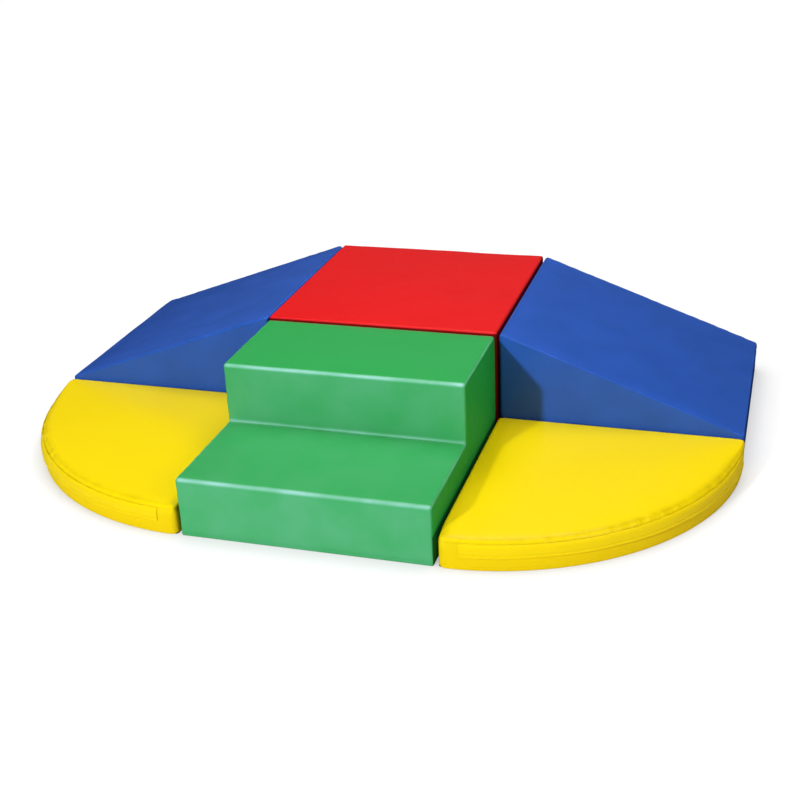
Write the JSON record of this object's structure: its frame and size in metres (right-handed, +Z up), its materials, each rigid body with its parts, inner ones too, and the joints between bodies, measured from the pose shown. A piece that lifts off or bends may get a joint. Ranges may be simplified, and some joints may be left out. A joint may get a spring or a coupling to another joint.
{
  "type": "soft play foam climber",
  "caption": "Low soft play climbing set: a platform block, a two-step block, two blunt ramps and two quarter-round mats, each a foam core in a zipped vinyl cover.",
  "frame": {"origin": "on the floor under the middle of the whole set's footprint", "axes": "+X to the right seen from the steps, +Y to the back, +Z up"},
  "size_m": [1.81, 1.205, 0.304],
  "materials": {
    "red_vinyl": "satin",
    "green_vinyl": "satin",
    "blue_vinyl": "satin",
    "yellow_vinyl": "satin",
    "foam": "matte",
    "anti_slip": "matte",
    "zip_tape": "matte",
    "zip_teeth": "satin",
    "slider_metal": "satin",
    "hook_strip": "matte",
    "loop_strip": "matte"
  },
  "bodies": {
    "platform": {"platform_cover": "red_vinyl", "platform_foam_core": "foam", "platform_base_panel": "anti_slip", "platform_zip_tape": "zip_tape", "platform_zip_teeth": "zip_teeth", "platform_front_hook_strip": "hook_strip", "platform_left_hook_strip": "hook_strip", "platform_right_hook_strip": "hook_strip"},
    "platform_zip": {"platform_zip_slider": "slider_metal"},
    "steps": {"steps_cover": "green_vinyl", "steps_foam_core": "foam", "steps_base_panel": "anti_slip", "steps_zip_tape": "zip_tape", "steps_zip_teeth": "zip_teeth", "steps_back_loop_strip": "loop_strip", "steps_left_hook_strip": "hook_strip", "steps_right_hook_strip": "hook_strip"},
    "steps_zip": {"steps_zip_slider": "slider_metal"},
    "left_ramp": {"left_ramp_cover": "blue_vinyl", "left_ramp_foam_core": "foam", "left_ramp_base_panel": "anti_slip", "left_ramp_zip_tape": "zip_tape", "left_ramp_zip_teeth": "zip_teeth", "left_ramp_side_loop_strip": "loop_strip", "left_ramp_front_hook_strip": "hook_strip"},
    "left_ramp_zip": {"left_ramp_zip_slider": "slider_metal"},
    "right_ramp": {"right_ramp_cover": "blue_vinyl", "right_ramp_foam_core": "foam", "right_ramp_base_panel": "anti_slip", "right_ramp_zip_tape": "zip_tape", "right_ramp_zip_teeth": "zip_teeth", "right_ramp_side_loop_strip": "loop_strip", "right_ramp_front_hook_strip": "hook_strip"},
    "right_ramp_zip": {"right_ramp_zip_slider": "slider_metal"},
    "left_mat": {"left_mat_cover": "yellow_vinyl", "left_mat_foam_core": "foam", "left_mat_base_panel": "anti_slip", "left_mat_zip_tape": "zip_tape", "left_mat_zip_teeth": "zip_teeth", "left_mat_zip_flap": "yellow_vinyl", "left_mat_side_loop_strip": "loop_strip", "left_mat_back_loop_strip": "loop_strip"},
    "left_mat_zip": {"left_mat_zip_slider": "slider_metal"},
    "right_mat": {"right_mat_cover": "yellow_vinyl", "right_mat_foam_core": "foam", "right_mat_base_panel": "anti_slip", "right_mat_zip_tape": "zip_tape", "right_mat_zip_teeth": "zip_teeth", "right_mat_zip_flap": "yellow_vinyl", "right_mat_side_loop_strip": "loop_strip", "right_mat_back_loop_strip": "loop_strip"},
    "right_mat_zip": {"right_mat_zip_slider": "slider_metal"}
  },
  "joints": [
    {"name": "steps_pull_away", "type": "slide", "parent": "platform", "child": "steps", "axis": [0, -1, 0], "range_m": [0, 0.6]},
    {"name": "left_ramp_pull_away", "type": "slide", "parent": "platform", "child": "left_ramp", "axis": [-1, 0, 0], "range_m": [0, 0.6]},
    {"name": "right_ramp_pull_away", "type": "slide", "parent": "platform", "child": "right_ramp", "axis": [1, 0, 0], "range_m": [0, 0.6]},
    {"name": "left_mat_pull_away", "type": "slide", "parent": "platform", "child": "left_mat", "axis": [-0.7071, -0.7071, 0], "range_m": [0, 0.6]},
    {"name": "right_mat_pull_away", "type": "slide", "parent": "platform", "child": "right_mat", "axis": [0.7071, -0.7071, 0], "range_m": [0, 0.6]},
    {"name": "platform_zip_run", "type": "slide", "parent": "platform", "child": "platform_zip", "axis": [1, 0, 0], "range_m": [0, 0.46]},
    {"name": "steps_zip_run", "type": "slide", "parent": "steps", "child": "steps_zip", "axis": [1, 0, 0], "range_m": [0, 0.454]},
    {"name": "left_ramp_zip_run", "type": "slide", "parent": "left_ramp", "child": "left_ramp_zip", "axis": [1, 0, 0], "range_m": [0, 0.46]},
    {"name": "right_ramp_zip_run", "type": "slide", "parent": "right_ramp", "child": "right_ramp_zip", "axis": [1, 0, 0], "range_m": [0, 0.46]},
    {"name": "left_mat_zip_run", "type": "hinge", "parent": "left_mat", "child": "left_mat_zip", "pos_m": [-0.305, -0.0025, 0], "axis": [0, 0, 1], "range_deg": [0, 68]},
    {"name": "right_mat_zip_run", "type": "hinge", "parent": "right_mat", "child": "right_mat_zip", "pos_m": [0.305, -0.0025, 0], "axis": [0, 0, 1], "range_deg": [0, 68]}
  ]
}
